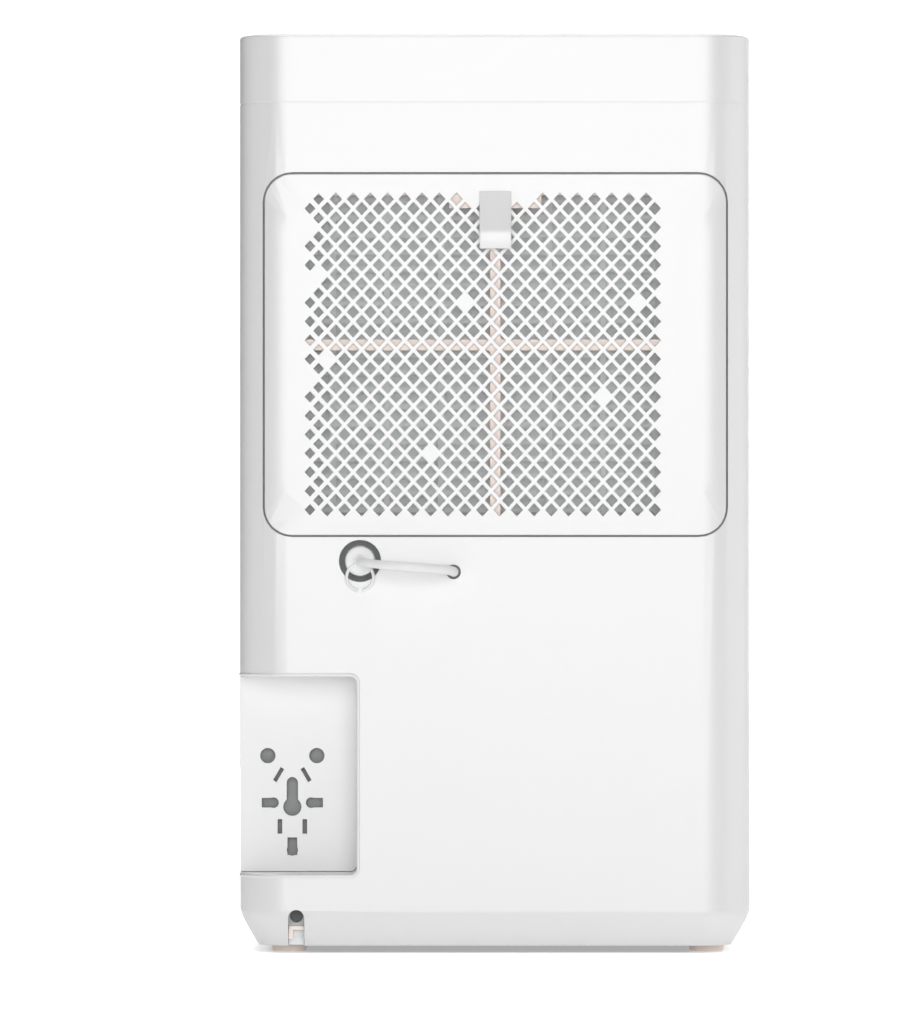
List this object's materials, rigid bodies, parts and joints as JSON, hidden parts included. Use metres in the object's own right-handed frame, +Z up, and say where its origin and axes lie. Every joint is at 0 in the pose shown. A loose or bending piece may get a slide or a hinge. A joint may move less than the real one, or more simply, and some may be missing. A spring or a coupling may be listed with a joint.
{
  "type": "dehumidifier",
  "caption": "Compact upright compressor dehumidifier with a tilting lattice filter cover, pull-out water tank, rear drain port and plug-parking pocket.",
  "frame": {"origin": "on the floor, under the middle of the body", "axes": "+Z up, the user faces the front at -Y, the air intake and drain port are at +Y"},
  "size_m": [0.26, 0.2682, 0.4667],
  "materials": {
    "white": "satin moulded plastic",
    "inner_white": "matte",
    "warm_white": "matte, slightly warm",
    "net": "fine woven net",
    "soft_white": "soft silicone",
    "grey_plastic": "matte",
    "dark_plastic": "matte",
    "foot_rubber": "matte",
    "black_rubber": "matte",
    "smoked": "clear plastic",
    "fins": "thin rolled fins",
    "copper": "drawn tube",
    "black_steel": "satin black enamel",
    "steel": "plated",
    "board": "soldermask"
  },
  "bodies": {
    "casing": {"rear_housing": "white", "front_housing": "white", "top_cover": "white", "base_pan": "dark_plastic", "foot_rear_right": "foot_rubber", "foot_rear_left": "foot_rubber", "foot_front_right": "foot_rubber", "foot_front_left": "foot_rubber", "intake_grid": "inner_white", "drain_spigot": "grey_plastic", "plug_tether": "soft_white", "plug_holder": "white", "cord_clip": "warm_white", "evaporator": "fins", "condenser": "fins", "compressor": "black_steel", "compressor_grommet_1": "black_rubber", "compressor_grommet_2": "black_rubber", "compressor_grommet_3": "black_rubber", "suction_line": "copper", "discharge_line": "copper", "capillary_tube": "copper", "drip_tray": "grey_plastic", "condensate_hose": "black_rubber", "fan_scroll": "dark_plastic", "fan_motor": "steel", "motor_bracket": "steel", "air_duct": "dark_plastic", "outlet_grille": "grey_plastic", "louver_motor": "steel", "control_fascia": "dark_plastic", "display_lens": "smoked", "control_board": "board", "power_board": "board", "run_capacitor": "steel", "humidity_sensor": "inner_white", "tank_bay": "dark_plastic", "float_sensor": "dark_plastic"},
    "filter_panel": {"filter_cover": "white", "filter_frame": "warm_white", "filter_mesh": "net"},
    "tank": {"water_tank": "smoked", "tank_front": "white", "level_window": "smoked", "tank_lid": "grey_plastic"},
    "tank_bail": {"tank_handle": "grey_plastic"},
    "float": {"tank_float": "warm_white"},
    "flap": {"outlet_flap": "white"},
    "handle": {"carry_handle": "white"},
    "impeller": {"fan_impeller": "grey_plastic"},
    "drain_stopper": {"drain_plug": "soft_white"},
    "power_key": {"power_button": "grey_plastic"},
    "mode_key": {"mode_button": "grey_plastic"},
    "speed_key": {"speed_button": "grey_plastic"},
    "timer_key": {"timer_button": "grey_plastic"}
  },
  "joints": [
    {"name": "filter_panel_tilt", "type": "hinge", "parent": "casing", "child": "filter_panel", "pos_m": [0, 0.1197, 0.2128], "axis": [-1, 0, 0], "range_deg": [0, 55]},
    {"name": "tank_slide", "type": "slide", "parent": "casing", "child": "tank", "axis": [0, -1, 0], "range_m": [0, 0.135]},
    {"name": "tank_bail_swing", "type": "hinge", "parent": "tank", "child": "tank_bail", "pos_m": [0, -0.06, 0.1455], "axis": [-1, 0, 0], "range_deg": [0, 90]},
    {"name": "float_swing", "type": "hinge", "parent": "tank", "child": "float", "pos_m": [-0.06, -0.06, 0.126], "axis": [1, 0, 0], "range_deg": [0, 14]},
    {"name": "flap_lift", "type": "hinge", "parent": "casing", "child": "flap", "pos_m": [0, 0.0615, 0.466], "axis": [-1, 0, 0], "range_deg": [0, 75]},
    {"name": "handle_lift", "type": "hinge", "parent": "casing", "child": "handle", "pos_m": [0, -0.028, 0.458], "axis": [-1, 0, 0], "range_deg": [0, 90]},
    {"name": "impeller_spin", "type": "hinge", "parent": "casing", "child": "impeller", "pos_m": [0, 0.01, 0.3], "axis": [0, 1, 0], "continuous": true},
    {"name": "drain_plug_pull", "type": "slide", "parent": "casing", "child": "drain_stopper", "axis": [0, 1, 0], "range_m": [0, 0.018], "deforming": ["plug_tether"]},
    {"name": "power_press", "type": "slide", "parent": "casing", "child": "power_key", "axis": [0, 0, -1], "range_m": [0, 0.0008], "stiffness_N_per_m": 400},
    {"name": "mode_press", "type": "slide", "parent": "casing", "child": "mode_key", "axis": [0, 0, -1], "range_m": [0, 0.0008], "stiffness_N_per_m": 400},
    {"name": "speed_press", "type": "slide", "parent": "casing", "child": "speed_key", "axis": [0, 0, -1], "range_m": [0, 0.0008], "stiffness_N_per_m": 400},
    {"name": "timer_press", "type": "slide", "parent": "casing", "child": "timer_key", "axis": [0, 0, -1], "range_m": [0, 0.0008], "stiffness_N_per_m": 400}
  ]
}
